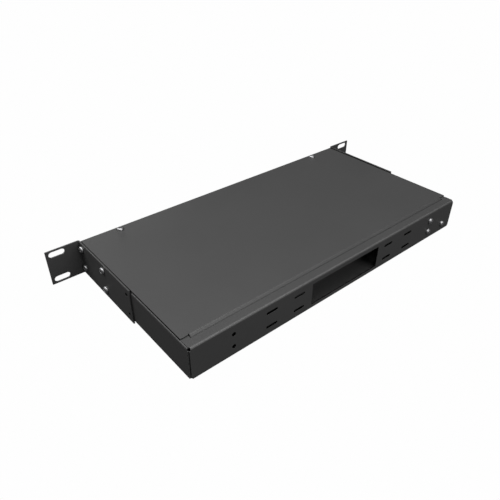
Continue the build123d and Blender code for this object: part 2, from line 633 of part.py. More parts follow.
def splice_tray_cover():
    """Clear cover that rests on the tray's wall, with a lip inside it."""
    top = Plane(origin=(0, TRAY_CENTRE_Y, TRAY_TOP_Z))
    cover = extrude(top * RectangleRounded(TRAY_LENGTH, TRAY_WIDTH, TRAY_CORNER), TRAY_COVER)
    inset = TRAY_WALL + CAP_GAP
    lip = RectangleRounded(TRAY_LENGTH - 2 * inset, TRAY_WIDTH - 2 * inset, TRAY_CORNER - inset)
    inner = inset + TRAY_WALL
    lip -= RectangleRounded(TRAY_LENGTH - 2 * inner, TRAY_WIDTH - 2 * inner, TRAY_CORNER - inner)
    return cover + extrude(top * lip, TRAY_COVER_LIP, dir=(0, 0, -1))


def splice_holder(x):
    """Soft comb whose grooves hold the splice sleeves."""
    base_z = TRAY_FLOOR_Z + TRAY_WALL
    y = TRAY_CENTRE_Y + HOLDER_Y
    half_x, half_y = HOLDER_LENGTH / 2, HOLDER_WIDTH / 2
    comb = block((x - half_x, x + half_x), (y - half_y, y + half_y), (base_z, base_z + HOLDER_BASE))
    for i in range(HOLDER_RIBS):
        rib_y = y - half_y + i * (HOLDER_WIDTH - HOLDER_RIB) / (HOLDER_RIBS - 1)
        top_z = base_z + HOLDER_BASE + HOLDER_RIB_HEIGHT
        comb += block((x - half_x, x + half_x), (rib_y, rib_y + HOLDER_RIB), (base_z, top_z))
    return comb


def tray_screws():
    seats = [(side * TRAY_SCREW_X, TRAY_CENTRE_Y, TRAY_FLOOR_Z + TRAY_WALL) for side in (-1, 1)]
    return [pan_screw(seat, (0, 0, 1), TRAY_SCREW_LENGTH) for seat in seats]


def slack_spool(x):
    """Drum that keeps spare fibre above its least bend radius, with fingers that hold it down."""
    centre = (x, SPOOL_Y, FLOOR_Z)
    drum = rod(centre, (0, 0, 1), SPOOL_RADIUS, SPOOL_HEIGHT)
    drum -= rod(centre, (0, 0, 1), SPOOL_RADIUS - SPOOL_WALL, SPOOL_HEIGHT - SPOOL_WALL)
    drum += rod(centre, (0, 0, 1), SPOOL_BOSS_RADIUS, SPOOL_HEIGHT)
    reach = SPOOL_RADIUS + SPOOL_FINGER_REACH
    top_z = FLOOR_Z + SPOOL_HEIGHT
    for i in range(SPOOL_FINGERS):
        finger = block(
            (SPOOL_RADIUS - SPOOL_FINGER_WIDTH, reach),
            (-SPOOL_FINGER_WIDTH / 2, SPOOL_FINGER_WIDTH / 2),
            (top_z - SPOOL_WALL, top_z),
        )
        drum += Pos(x, SPOOL_Y, 0) * Rot(0, 0, i * 360 / SPOOL_FINGERS) * finger
    return drum - rod(centre, (0, 0, 1), SCREW_RADIUS + SCREW_GAP, SPOOL_HEIGHT + 1)


def spool_screws():
    seats = [(side * SPOOL_X, SPOOL_Y, FLOOR_Z + SPOOL_HEIGHT) for side in (-1, 1)]
    return [pan_screw(seat, (0, 0, 1), SPOOL_SCREW_LENGTH) for seat in seats]


def fibre_clips():
    """Open hoops snapped into the floor beside the tray."""
    outline = Rectangle(CLIP_WIDTH, CLIP_HEIGHT)
    outline -= Rectangle(CLIP_WIDTH - 2 * CLIP_WALL, CLIP_HEIGHT - 2 * CLIP_WALL)
    outline -= Pos(0, CLIP_HEIGHT / 2) * Rectangle(CLIP_MOUTH, 3 * CLIP_WALL)
    clips = []
    for x in (-CLIP_X, CLIP_X):
        for y in CLIP_Y:
            centre = (x, y - CLIP_LENGTH / 2, FLOOR_Z + CLIP_HEIGHT / 2)
            start = Plane(origin=centre, x_dir=(1, 0, 0), z_dir=FORWARD)
            hoop = extrude(start * outline, CLIP_LENGTH, dir=BACKWARD)
            clips.append(hoop + rod((x, y, FLOOR_Z), (0, 0, -1), CLIP_PEG_RADIUS, SHEET))
    return clips


def save(name, shape):
    solids = shape if isinstance(shape, list) else [shape]
    pieces = [piece for part in solids for piece in part.solids()]
    export_step(Compound(children=pieces), f"parts/{name}.step")


def save_front_group(name, x, first_number, pin_number):
    """One adapter plate with its adapters, caps and plungers."""
    save(f"adapter_plate_{name}", adapter_plate(x))
    places = [x + offset for offset in ADAPTER_OFFSETS]
    for i, place in enumerate(places):
        save(f"adapter_{first_number + i:02d}", adapter(place))
    save(f"dust_caps_front_{name}", [dust_cap(place, ADAPTER_FACE_Y, -1) for place in places])
    save(f"dust_caps_rear_{name}", [dust_cap(place, ADAPTER_END_Y, 1) for place in places])
    plungers = [x + side * PLUNGER_OFFSET for side in (-1, 1)]
    save(f"plunger_sockets_{name}", [plunger_socket(place) for place in plungers])
    for i, place in enumerate(plungers):
        save(f"plunger_pin_{pin_number + i}", plunger_pin(place))


os.makedirs("parts", exist_ok=True)
right_ear = ear()
save("chassis", chassis())
save("lid", lid())
save("lid_screws", lid_screws())
save("lid_press_nuts", lid_press_nuts())
save("ear_right", right_ear)
save("ear_left", mirrored(right_ear))
save("ear_screws", ear_screws())
save("ear_press_nuts", ear_press_nuts())
save("front_panel", front_panel())
for index, (plate_name, plate_x) in enumerate(zip(PLATE_NAMES, PLATE_X)):
    save_front_group(plate_name, plate_x, 1 + index * ADAPTERS_PER_PLATE, 1 + 2 * index)
save("rear_screws", rear_screws())
save("rear_nuts", rear_nuts())
save("clamp_bracket", clamp_bracket())
save("clamp_block", clamp_block())
save("clamp_screw", clamp_screw())
save("splice_tray", splice_tray())
save("splice_tray_cover", splice_tray_cover())
save("splice_holder_left", splice_holder(-HOLDER_X))
save("splice_holder_right", splice_holder(HOLDER_X))
save("tray_screws", tray_screws())
save("slack_spool_left", slack_spool(-SPOOL_X))
save("slack_spool_right", slack_spool(SPOOL_X))
save("spool_screws", spool_screws())
save("fibre_clips", fibre_clips())
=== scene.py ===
import json
import math
from collections import namedtuple

import bmesh
import bpy
from bpy.props import FloatProperty, FloatVectorProperty, IntProperty, PointerProperty
from mathutils import Matrix, Vector


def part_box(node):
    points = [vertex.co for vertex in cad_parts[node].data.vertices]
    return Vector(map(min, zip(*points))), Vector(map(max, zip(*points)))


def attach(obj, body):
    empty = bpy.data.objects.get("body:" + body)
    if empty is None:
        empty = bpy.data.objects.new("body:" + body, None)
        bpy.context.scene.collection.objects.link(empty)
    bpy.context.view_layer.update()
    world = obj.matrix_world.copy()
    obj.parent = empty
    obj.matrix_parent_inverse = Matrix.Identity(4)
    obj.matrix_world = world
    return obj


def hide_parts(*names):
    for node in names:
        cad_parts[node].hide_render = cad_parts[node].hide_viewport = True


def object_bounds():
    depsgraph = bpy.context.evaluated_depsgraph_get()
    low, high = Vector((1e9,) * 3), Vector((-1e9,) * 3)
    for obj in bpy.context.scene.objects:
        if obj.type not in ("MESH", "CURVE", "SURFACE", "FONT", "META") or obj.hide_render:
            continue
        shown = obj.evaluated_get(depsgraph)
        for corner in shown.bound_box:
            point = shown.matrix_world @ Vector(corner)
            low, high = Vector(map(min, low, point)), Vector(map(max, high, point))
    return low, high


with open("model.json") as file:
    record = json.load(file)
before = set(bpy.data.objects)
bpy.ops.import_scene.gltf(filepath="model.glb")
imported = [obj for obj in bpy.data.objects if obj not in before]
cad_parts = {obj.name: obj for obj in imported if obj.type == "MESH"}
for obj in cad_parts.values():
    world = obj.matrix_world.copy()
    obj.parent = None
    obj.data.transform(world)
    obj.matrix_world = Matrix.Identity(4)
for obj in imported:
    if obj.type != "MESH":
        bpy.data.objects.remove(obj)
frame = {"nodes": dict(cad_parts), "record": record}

bl_info = {
    "name": "Fibre enclosure",
    "version": (1, 0, 0),
    "blender": (4, 5, 0),
    "location": "View3D > Sidebar > Enclosure",
    "description": "Finishes, fasteners and fibre hardware of a one-unit rack fibre enclosure",
    "category": "Object",
}

CAD_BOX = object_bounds()
PLATES = ("left", "middle", "right")
ADAPTERS = range(1, 19)
PLUNGERS = range(1, 7)
UP = Vector((0, 0, 1))
REARWARD = Vector((0, 1, 0))
FRONTWARD = Vector((0, -1, 0))
SLOTS = {part["node"]: part["material_slot"] for part in frame["record"]["subparts"]}
BODIES = {
    node: body for body, nodes in frame["record"]["behaviour"]["bodies"].items() for node in nodes
}

Seat = namedtuple("Seat", "point facing upright")


def setting(kind, **given):
    """Maker of properties of one kind, from their name, default and description."""

    def made(name, default, description, **more):
        return kind(name=name, default=default, description=description, **given, **more)

    return made


length = setting(FloatProperty, unit="LENGTH", precision=5, min=0.0)
power = setting(FloatProperty, unit="POWER", min=0.0)
share = setting(FloatProperty, subtype="FACTOR", min=0.0, max=1.0)
degrees = setting(FloatProperty)
colour = setting(FloatVectorProperty, subtype="COLOR", size=3, min=0.0, max=1.0)
counted = setting(IntProperty)


class FinishSettings(bpy.types.PropertyGroup):
    coat_colour: colour("Coat", (0.0342, 0.0342, 0.0342), "Powder coat on the folded steel")
    # Lighter coat on the edges, partly thinner coat and partly a painted highlight, and the painted
    # highlight on the rear bend
    coat_worn_colour: colour("Coat edge", (0.13, 0.13, 0.13), "Thinner coat along the cut edges")
    # Colour of uncoated cut steel and of the painted shade in gaps and along the lid's sides
    bare_colour: colour("Bare steel", (0.004, 0.004, 0.004), "Dark steel where there is no coat")
    # Reach of the ambient occlusion that paints shade into gaps
    gap_reach: length("Gap reach", 0.003, "Widest gap that the coat can't reach into")
    body_sheet: length("Body sheet", 0.0012, "Steel of the folded body, bare on its cut faces")
    ear_sheet: length("Ear sheet", 0.0015, "Steel of the ears, bare in their holes")
    coat_roughness: share("Coat roughness", 0.5, "Sheen of the powder coat")
    coat_edge: length("Coat edge radius", 0.0004, "How round the coat makes the sheet's edges")
    zinc_colour: colour("Zinc", (0.36, 0.36, 0.365), "Zinc plate on the screws")
    nut_colour: colour("Nut steel", (0.6, 0.58, 0.53), "Passivated zinc on nuts and bracket")
    adapter_colour: colour("Adapter", (0.015, 0.11, 0.36), "Moulded adapter housings")
    cap_colour: colour("Dust cap", (0.6, 0.6, 0.57), "Soft moulded dust caps")
    nylon_colour: colour("Nylon", (0.028, 0.028, 0.03), "Plungers that hold the plates")
    tray_colour: colour("Tray", (0.6, 0.61, 0.6), "Moulded splice tray")
    guide_colour: colour("Guides", (0.66, 0.67, 0.65), "Slack spools and fibre clips")
    rubber_colour: colour("Rubber", (0.05, 0.05, 0.055), "Splice combs")
    ceramic_colour: colour("Ceramic", (0.82, 0.81, 0.77), "Alignment sleeves in the adapters")
    cover_colour: colour("Cover", (0.8, 0.84, 0.85), "Clear cover of the splice tray")
    cover_opacity: share("Cover opacity", 0.2, "How much of the tray the clear cover hides")


class ScrewSettings(bpy.types.PropertyGroup):
    head_radius: length("Head radius", 0.004, "Pan head of an M4 screw")
    head_height: length("Head height", 0.0027, "Pan head of an M4 screw")
    shank_radius: length("Shank radius", 0.00195, "Over the thread's crests")
    thread_depth: length("Thread depth", 0.00035, "Crest to root")
    thread_pitch: length("Thread pitch", 0.0007, "Crest to crest")
    recess_span: length("Recess span", 0.0044, "Cross recess from tip to tip")
    recess_width: length("Recess width", 0.001, "Width of each wing of the recess")
    recess_depth: length("Recess depth", 0.0016, "Below the top of the head")
    nut_across_flats: length("Nut across flats", 0.007, "Hexagon nut")
    nut_height: length("Nut height", 0.0032, "Hexagon nut")
    press_nut_radius: length("Press nut radius", 0.004, "Round clinch nut")
    press_nut_height: length("Press nut height", 0.0026, "Round clinch nut")
    nut_bore: length("Nut bore", 0.00201, "Thread's clear radius in every nut")


class FrontSettings(bpy.types.PropertyGroup):
    adapter_height: length("Adapter height", 0.0127, "Housing, without its flange")
    cap_plug: length("Cap plug", 0.006, "How deep a dust cap sits in its port")
    plug_inset_x: length("Plug inset across", 0.00095, "From the cap face's side to the plug's")
    plug_inset_y: length("Plug inset along", 0.00155, "From the cap face's end to the plug's")
    cap_wall: length("Cap wall", 0.0009, "Wall of the hollow plug")
    cap_face: length("Cap face", 0.0014, "Thickness of the cap's face")
    cap_grip: length("Cap grip", 0.0016, "Thickness of the cap's grip")
    cap_round: length("Cap rounding", 0.0004, "Radius of the moulded edges")
    cap_ribs: counted("Grip ribs", 4, "Ribs on each side of a grip", min=0)
    sleeve_radius: length("Sleeve radius", 0.0018, "Holder of the alignment sleeve")
    sleeve_bore: length("Sleeve bore", 0.00125, "Ferrule bore")
    sleeve_length: length("Sleeve length", 0.0058, "From the web towards the port")
    port_web: length("Port web", 0.003, "Wall between an adapter's two ports")
    spring_sheet: length("Spring sheet", 0.00035, "Steel of the adapter's retaining spring")
    spring_length: length("Spring length", 0.0052, "Along the adapter")
    spring_reach: length("Spring reach", 0.0017, "How far its tongues stand out")
    knob_height: length("Knob height", 0.0046, "Plunger's knob in front of its collar")
    knob_gap: length("Knob gap", 0.00003, "Between a plunger's knob and its collar")
    knob_round: length("Knob rounding", 0.0006, "Radius of the plunger's edges")
    collar_head: length("Collar head", 0.0015, "Thickness of the collar's flange")
    barrel_radius: length("Barrel radius", 0.0024, "Collar inside the plate's hole")
    barrel_bore: length("Barrel bore", 0.00135, "Radius of the pin's way through the collar")
    collar_slit: length("Collar slit", 0.0007, "Slits that let a plunger's barrel spread")


class CombSettings(bpy.types.PropertyGroup):
    ribs: counted("Ribs", 9, "Ribs of a splice comb", min=2)
    rib_thickness: length("Rib thickness", 0.0009, "At the foot of a rib")
    base_height: length("Base height", 0.0012, "Under the ribs")
    corner: length("Corner radius", 0.0015, "Corners of the comb's base")


class StudioSettings(bpy.types.PropertyGroup):
    camera_place: FloatVectorProperty(
        name="Camera", default=(0.35419, 0.47049, 0.32550), size=3, subtype="TRANSLATION",
        unit="LENGTH", description="Where the camera stands",
    )
    azimuth: degrees("Azimuth", 139.843, "Round the object, degrees")
    elevation: degrees("Elevation", 34.632, "Above the floor, degrees")
    roll: degrees("Roll", 0.265, "Camera's lean, degrees")
    lens: FloatProperty(name="Lens", default=36.02, description="Focal length, mm on a 36 mm frame")
    white: share("White", 0.991, "Floor and backdrop as the camera sees them")
    floor_glow: share("Floor glow", 0.069, "Light that the object takes from the floor")
    room_glow: share("Room glow", 0.05, "Light that the object takes from the room")
    lamp_distance: length("Lamp distance", 1.8, "From the origin to every lamp")
    softbox_side: length("Softbox", 1.2, "Side of a square softbox")
    left_power: power("Left", 23.5, "Softbox at the front left of the photograph")
    near_power: power("Near", 17.5, "Softbox high over the camera")
    rear_power: power("Rear", 16.5, "Low softbox that faces the rear wall")
    right_power: power("Right", 6.7, "Softbox high at the photograph's right")
    overhead_power: power("Overhead", 14.2, "Larger softbox straight above")
    front_power: power("Front", 10.0, "Low strip that faces the adapters")


class EnclosureSettings(bpy.types.PropertyGroup):
    finish: PointerProperty(type=FinishSettings)
    screws: PointerProperty(type=ScrewSettings)
    front: PointerProperty(type=FrontSettings)
    comb: PointerProperty(type=CombSettings)
    studio: PointerProperty(type=StudioSettings)


def settings():
    return bpy.context.scene.enclosure


class Socket:
    """A node's socket in a Python expression: each operator adds its Math node."""

    def __init__(self, tree, link):
        self.tree = tree
        self.link = link

    def __add__(self, other):
        return self.tree.maths("ADD", self, other)

    def __sub__(self, other):
        return self.tree.maths("SUBTRACT", self, other)

    def __mul__(self, other):
        return self.tree.maths("MULTIPLY", self, other)

    def __truediv__(self, other):
        return self.tree.maths("DIVIDE", self, other)

    def __rsub__(self, other):
        return self.tree.maths("SUBTRACT", other, self)

    def __neg__(self):
        return self.tree.maths("MULTIPLY", self, -1.0)

    def clamped(self):
        return self.tree.maths("ADD", self, 0.0, use_clamp=True)


class Tree:
    """Adds nodes to a shader or geometry tree."""

    def __init__(self, node_tree):
        self.node_tree = node_tree

    def add(self, kind, chosen=None, inputs=None, output=0):
        """One node: its settings first, then the values or links of its sockets."""
        node = self.node_tree.nodes.new(kind)
        for name, value in (chosen or {}).items():
            if name == "stops":
                self.set_stops(node.color_ramp, value)
            else:
                setattr(node, name, value)
        for key, value in (inputs or {}).items():
            self.put(node.inputs[key], value)
        return Socket(self, node.outputs[output]) if node.outputs else node

    def put(self, socket, value):
        """Links or sets a socket. One that takes several links is given a list."""
        if isinstance(value, list):
            for part in value:
                self.put(socket, part)
        elif isinstance(value, Socket):
            self.node_tree.links.new(value.link, socket)
        else:
            socket.default_value = value

    def set_stops(self, ramp, stops):
        for element, (place, tone) in zip(ramp.elements, stops):
            element.position = place
            element.color = (tone, tone, tone, 1)

    def maths(self, operation, left, right, use_clamp=False):
        chosen = {"operation": operation, "use_clamp": use_clamp}
        return self.add("ShaderNodeMath", chosen, {0: left, 1: right})


class GrowthTree(Tree):
    """A Geometry Nodes tree with named inputs, beside its geometry and finish. It is built once,
    and ends in plain geometry."""

    def __init__(self, name, inputs, build):
        group = bpy.data.node_groups.get(name)
        super().__init__(group or bpy.data.node_groups.new(name, "GeometryNodeTree"))
        if group is None:
            self.declare(inputs)
            self.end(build(self))

    def declare(self, inputs):
        interface = self.node_tree.interface
        interface.new_socket("Geometry", in_out="OUTPUT", socket_type="NodeSocketGeometry")
        for label, kind in {"Geometry": "Geometry", "Finish": "Material", **inputs}.items():
            interface.new_socket(label, in_out="INPUT", socket_type=f"NodeSocket{kind}")
        self.source = self.add("NodeGroupInput").link.node

    def taken(self, label):
        return Socket(self, self.source.outputs[label])

    def end(self, geometry):
        plain = self.add("GeometryNodeRealizeInstances", {}, {"Geometry": geometry})
        chosen = {"Geometry": plain, "Material": self.taken("Finish")}
        coated = self.add("GeometryNodeSetMaterial", {}, chosen)
        self.add("NodeGroupOutput", {}, {"Geometry": coated})

    def grow(self, name, carrier, values):
        """Runs the tree on a carrier mesh and returns what grows as an object with a plain mesh."""
        piece = placed(name, carrier)
        growth = piece.modifiers.new("Growth", "NODES")
        growth.node_group = self.node_tree
        sockets = self.node_tree.interface.items_tree
        identifiers = {item.name: item.identifier for item in sockets if item.in_out == "INPUT"}
        for label, value in values.items():
            growth[identifiers[label]] = value
        settle(piece)
        if not piece.data.polygons:
            raise RuntimeError(f"nothing grew on {name}")
        smoothed(piece.data)
        return piece


def emptied(holder):
    """Node tree of a material or world, with nothing in it."""
    holder.use_nodes = True
    holder.node_tree.nodes.clear()
    return holder.node_tree


class Finish(Tree):
    """A material whose nodes end in one Principled shader."""

    def __init__(self, name):
        self.material = bpy.data.materials.new(f"{name}_finish")
        super().__init__(emptied(self.material))
        self.place = self.add("ShaderNodeTexCoord", output="Object")

    def noise(self, scale, detail=2.0, roughness=0.5, stretch=None):
        """Noise with scale features to the metre, and a value about 0.5."""
        place = self.place
        if stretch:
            place = self.add("ShaderNodeMapping", {}, {"Vector": place, "Scale": stretch})
        inputs = {"Vector": place, "Scale": scale, "Detail": detail, "Roughness": roughness}
        return self.add("ShaderNodeTexNoise", {}, inputs)

    def ramp(self, value, stops):
        return self.add("ShaderNodeValToRGB", {"stops": stops}, {"Fac": value})

    def mix(self, amount, first, second):
        """Colour that goes from first to second."""
        tones = {0: amount, 6: self.tone(first), 7: self.tone(second)}
        return self.add("ShaderNodeMix", {"data_type": "RGBA"}, tones, output=2)

    def tone(self, value):
        return value if isinstance(value, Socket) else (*value, 1.0)

    def edges(self, radius):
        """Rounded normal of the surface, and how much it turns away there, from 0 to 1."""
        rounded = self.add("ShaderNodeBevel", {"samples": 6}, {"Radius": radius})
        flat = self.add("ShaderNodeNewGeometry", output="Normal")
        chosen = {"operation": "DOT_PRODUCT"}
        turned = self.add("ShaderNodeVectorMath", chosen, {0: rounded, 1: flat}, output="Value")
        return rounded, ((1 - turned) * 4.0).clamped()

    def gaps(self, reach):
        """How far a place is shut in by what stands within reach of it, from 0 to 1. It sets painted
        shade in the coat.
        """
        open_share = self.add("ShaderNodeAmbientOcclusion", {"samples": 8}, {"Distance": reach}, "AO")
        return ((0.8 - open_share) * 1.5).clamped()

    def along(self, axis):
        return self.add("ShaderNodeSeparateXYZ", {}, {"Vector": self.place}, axis)

    def between(self, value, low, high, fade=0.0001):
        """1 where the value is well between low and high, and 0 outside them."""
        return ((value - low) / fade).clamped() * ((high - value) / fade).clamped()

    def bump(self, height, depth, normal=None):
        """Relief of height times depth metres over a normal."""
        inputs = {"Height": height, "Distance": depth, "Strength": 1.0}
        if normal:
            inputs["Normal"] = normal
        return self.add("ShaderNodeBump", {}, inputs)

    def done(self, inputs):
        shader = self.add("ShaderNodeBsdfPrincipled", {}, inputs)
        self.add("ShaderNodeOutputMaterial", {}, {"Surface": shader})
        return self.material


def powder_coat(chosen):
    """Matt coat with a soft orange peel and fine grain. Its edges are painted lighter, partly thinner
    coat and partly a painted highlight, and the rear bend has a painted highlight. Gaps get painted
    shade from ambient occlusion; the cut faces of the openings and the ear holes are painted dark,
    uncoated steel and painted shade, and a shadow line is painted along the lid's sides.
    """
    coat = Finish("powder_coat")
    rounded, edge = coat.edges(chosen.coat_edge)
    cloud = coat.noise(14.0, detail=3.0)
    peel = coat.noise(650.0, detail=2.0)
    grain = coat.noise(2400.0, detail=1.0)
    cut, bend_highlight = cut_shade_and_bend_highlight(coat, chosen.body_sheet, chosen.ear_sheet)
    # Painted shade: ambient occlusion darkens gaps, added to the darkened cut faces, holes and lid-side
    # line
    bare_and_shaded = (coat.gaps(chosen.gap_reach) + cut).clamped()
    even = coat.mix(cloud * 0.5 + grain * 0.3, chosen.coat_colour, scaled(chosen.coat_colour, 1.16))
    # Edges painted lighter, partly thinner coat and partly a painted highlight; the rear bend gets a
    # painted highlight
    lightened = coat.mix(edge * 0.3 + bend_highlight * 0.2, even, chosen.coat_worn_colour)
    return coat.done({
        "Base Color": coat.mix(bare_and_shaded, lightened, chosen.bare_colour),
        "Metallic": bare_and_shaded,
        "Roughness": (cloud * 0.06 + grain * 0.1 + chosen.coat_roughness - 0.08).clamped(),
        "Normal": coat.bump(peel * 0.7 + grain * 0.3, 0.00003, rounded),
    })


def cut_shade_and_bend_highlight(coat, sheet, ear_sheet):
    """Two masks. One darkens the cut faces of the openings and the ear holes, uncoated steel and
    painted shade, and paints a shadow line along the lid's sides; the other is a painted highlight on the
    rear bend."""
    width, depth, height = coat.along("X"), coat.along("Y"), coat.along("Z")
    width = coat.maths("ABSOLUTE", width, 0.0)
    high, lid_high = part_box("chassis")[1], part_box("lid")[1]
    bend, rim = 2 * sheet, sheet / 2
    # Cut faces of the openings and the ear holes, painted dark: uncoated steel and painted shade
    wall = coat.between(depth, high.y - sheet, high.y) * coat.between(width, -1.0, high.x - bend)
    openings = wall * coat.between(height, bend - high.z, high.z - bend)
    plate = coat.between(width, high.x, high.x + ear_sheet) * coat.between(height, -high.z, high.z)
    holes = plate * coat.between(depth, bend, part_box("ear_left")[1].y - bend)
    # Painted shadow line along the lid's sides
    seam_shadow = coat.between(width, lid_high.x - rim, lid_high.x + rim / 3)
    seam_shadow = seam_shadow * coat.between(height, lid_high.z - 1.2 * sheet, lid_high.z + rim)
    # Painted highlight on the rear bend
    bend_highlight = coat.between(depth, high.y - 1.8 * sheet, high.y - sheet / 2, sheet / 6)
    return openings + holes + seam_shadow, bend_highlight * coat.between(height, high.z - sheet, high.z + rim)


def plated(name, base, roughness):
    """Bright plate with a faint cloud of passivation and fine turning marks."""
    plate = Finish(name)
    rounded, edge = plate.edges(0.00015)
    cloud = plate.noise(240.0, detail=3.0)
    marks = plate.noise(2600.0, detail=2.0)
    clouded = plate.mix(cloud * 0.8, base, scaled(base, 0.72))
    return plate.done({
        # Edges painted lighter: a painted highlight
        "Base Color": plate.mix(edge * 0.5, clouded, scaled(base, 1.2)),
        "Metallic": 1.0,
        "Roughness": (cloud * 0.14 + marks * 0.1 + (roughness - 0.08)).clamped(),
        "Normal": plate.bump(marks, 0.000008, rounded),
    })


def moulded(name, base, roughness, relief=0.00001, radius=0.0003):
    """Moulded plastic: eroded mould texture, flow clouds and rounded edges."""
    part = Finish(name)
    rounded, edge = part.edges(radius)
    cloud = part.noise(60.0, detail=2.0)
    texture = part.noise(1800.0, detail=2.0)
    clouded = part.mix(cloud * 0.6 + texture * 0.2, base, scaled(base, 0.86))
    return part.done({
        # Edges painted lighter: a painted highlight
        "Base Color": part.mix(edge * 0.35, clouded, lifted(base, 0.14)),
        "Roughness": (cloud * 0.1 + texture * 0.12 + (roughness - 0.1)).clamped(),
        "Normal": part.bump(texture, relief, rounded),
    })


def holder_rubber(chosen):
    """Soft rubber with a dusty, uneven surface."""
    rubber = Finish("holder_rubber")
    rounded, edge = rubber.edges(0.0002)
    dust = rubber.noise(320.0, detail=4.0, roughness=0.6)
    pores = rubber.noise(1600.0, detail=2.0)
    lightened = rubber.ramp(dust, ((0.35, 0.0), (0.75, 1.0)))
    dusty = lifted(chosen.rubber_colour, 0.1)
    return rubber.done({
        # Dust from the noise mask, and edges painted lighter as a painted highlight
        "Base Color": rubber.mix(lightened * 0.5 + edge * 0.4, chosen.rubber_colour, dusty),
        "Roughness": (dust * 0.2 + 0.62).clamped(),
        "Normal": rubber.bump(pores, 0.00004, rounded),
    })


def cover_clear(chosen):
    """Clear sheet with faint wipe marks."""
    sheet = Finish("cover_clear")
    wipes = sheet.noise(90.0, detail=4.0, roughness=0.7, stretch=(1.0, 0.15, 1.0))
    hazy = sheet.ramp(wipes, ((0.4, 0.0), (0.7, 1.0)))
    return sheet.done({
        "Base Color": (*chosen.cover_colour, 1.0),
        "Roughness": (hazy * 0.03 + 0.08).clamped(),
        "Alpha": (hazy * 0.02 + chosen.cover_opacity).clamped(),
    })


OWN_RECIPES = {
    "powder_coat": powder_coat, "holder_rubber": holder_rubber, "cover_clear": cover_clear,
}
# Recipe, colour, roughness, and for some the relief and the edge radius
SHARED_RECIPES = {
    "zinc": (plated, "zinc_colour", 0.42),
    "nut_steel": (plated, "nut_colour", 0.32),
    "spring_steel": (plated, "nut_colour", 0.22),
    "adapter_plastic": (moulded, "adapter_colour", 0.38),
    "cap_plastic": (moulded, "cap_colour", 0.45),
    "plunger_nylon": (moulded, "nylon_colour", 0.42),
    "tray_plastic": (moulded, "tray_colour", 0.5, 0.00002),
    "guide_plastic": (moulded, "guide_colour", 0.46, 0.00002),
    "ceramic": (moulded, "ceramic_colour", 0.2, 0.000002, 0.0001),
}


def finish(name):
    """The finish of that name, made when it is first needed."""
    made = bpy.data.materials.get(f"{name}_finish")
    if made:
        return made
    chosen = settings().finish
    if name in OWN_RECIPES:
        return OWN_RECIPES[name](chosen)
    recipe, base, *sizes = SHARED_RECIPES[name]
    return recipe(name, getattr(chosen, base), *sizes)


def scaled(base, factor):
    return tuple(min(1.0, part * factor) for part in base)


def lifted(base, amount):
    return tuple(min(1.0, part + amount * (1 - part)) for part in base)


def dress(*nodes):
    """Gives CAD nodes the finish that the record names for them."""
    for node in nodes:
        for holder in frame["nodes"][node].material_slots:
            holder.material = finish(SLOTS[node])


def placed(name, mesh):
    piece = bpy.data.objects.new(name, mesh)
    bpy.context.scene.collection.objects.link(piece)
    return piece


def discard(*pieces):
    for piece in pieces:
        bpy.data.objects.remove(piece)


def shaped(name, shape):
    """Object from a bmesh, with its faces outwards."""
    bmesh.ops.recalc_face_normals(shape, faces=shape.faces)
    mesh = bpy.data.meshes.new(name)
    shape.to_mesh(mesh)
    shape.free()
    return placed(name, mesh)


def settle(piece):
    """Turns a piece's modifiers into its mesh."""
    graph = bpy.context.evaluated_depsgraph_get()
    mesh = bpy.data.meshes.new_from_object(piece.evaluated_get(graph))
    piece.modifiers.clear()
    piece.data = mesh


def smoothed(mesh, sharp_from=35.0):
    mesh.shade_smooth()
    mesh.set_sharp_from_angle(angle=math.radians(sharp_from))


def combine(base, operation, *tools):
    """Joins, cuts or keeps base by each tool in turn, and throws the tools away."""
    for tool in tools:
        step = base.modifiers.new(operation, "BOOLEAN")
        step.operation = operation
        step.solver = "EXACT"
        step.object = tool
        settle(base)
        discard(tool)
    return base


def lathe(name, profile, segments=32, ring=False):
    """Turns (radius, height) pairs about Z. A ring's profile closes, others end on the axis."""
    shape = bmesh.new()
    rounds = []
    for radius, height in profile:
        count = segments if radius else 1
        angles = [math.tau * i / count for i in range(count)]
        corners = [(radius * math.cos(a), radius * math.sin(a), height) for a in angles]
        rounds.append([shape.verts.new(corner) for corner in corners])
    pairs = list(zip(rounds, rounds[1:]))
    if ring:
        pairs.append((rounds[-1], rounds[0]))
    for near, far in pairs:
        for i in range(segments):
            j = i + 1
            around = [near[i % len(near)], near[j % len(near)], far[j % len(far)], far[i % len(far)]]
            shape.faces.new(list(dict.fromkeys(around)))
    return shaped(name, shape)


def rounded_block(name, low, high, radius=0.0, segments=2):
    """Box between two corners, with its edges rounded."""
    low, high = Vector(low), Vector(high)
    shape = bmesh.new()
    fit = Matrix.LocRotScale((low + high) / 2, None, high - low)
    bmesh.ops.create_cube(shape, size=1.0, matrix=fit)
    if radius:
        bmesh.ops.bevel(
            shape, geom=shape.edges[:], offset=radius, segments=segments, profile=0.5, affect="EDGES"
        )
    return shaped(name, shape)


def hull(name, points):
    """Closed solid round a few points."""
    shape = bmesh.new()
    for point in points:
        shape.verts.new(point)
    made = bmesh.ops.convex_hull(shape, input=shape.verts)
    bmesh.ops.delete(shape, geom=made["geom_interior"] + made["geom_unused"], context="VERTS")
    return shaped(name, shape)


def solids_of(node):
    """Lowest and highest corner of each separate solid in a CAD node, from left to right."""
    shape = bmesh.new()
    shape.from_mesh(frame["nodes"][node].data)
    bmesh.ops.remove_doubles(shape, verts=shape.verts, dist=1e-6)
    unseen = set(shape.verts)
    solids = []
    while unseen:
        group = [unseen.pop()]
        for vertex in group:
            beside = {edge.other_vert(vertex) for edge in vertex.link_edges} & unseen
            unseen -= beside
            group.extend(beside)
        corners = [vertex.co for vertex in group]
        low = Vector(min(corner[axis] for corner in corners) for axis in range(3))
        high = Vector(max(corner[axis] for corner in corners) for axis in range(3))
        solids.append((low, high))
    shape.free()
    return sorted(solids, key=lambda solid: tuple(round(value, 5) for value in solid[0]))


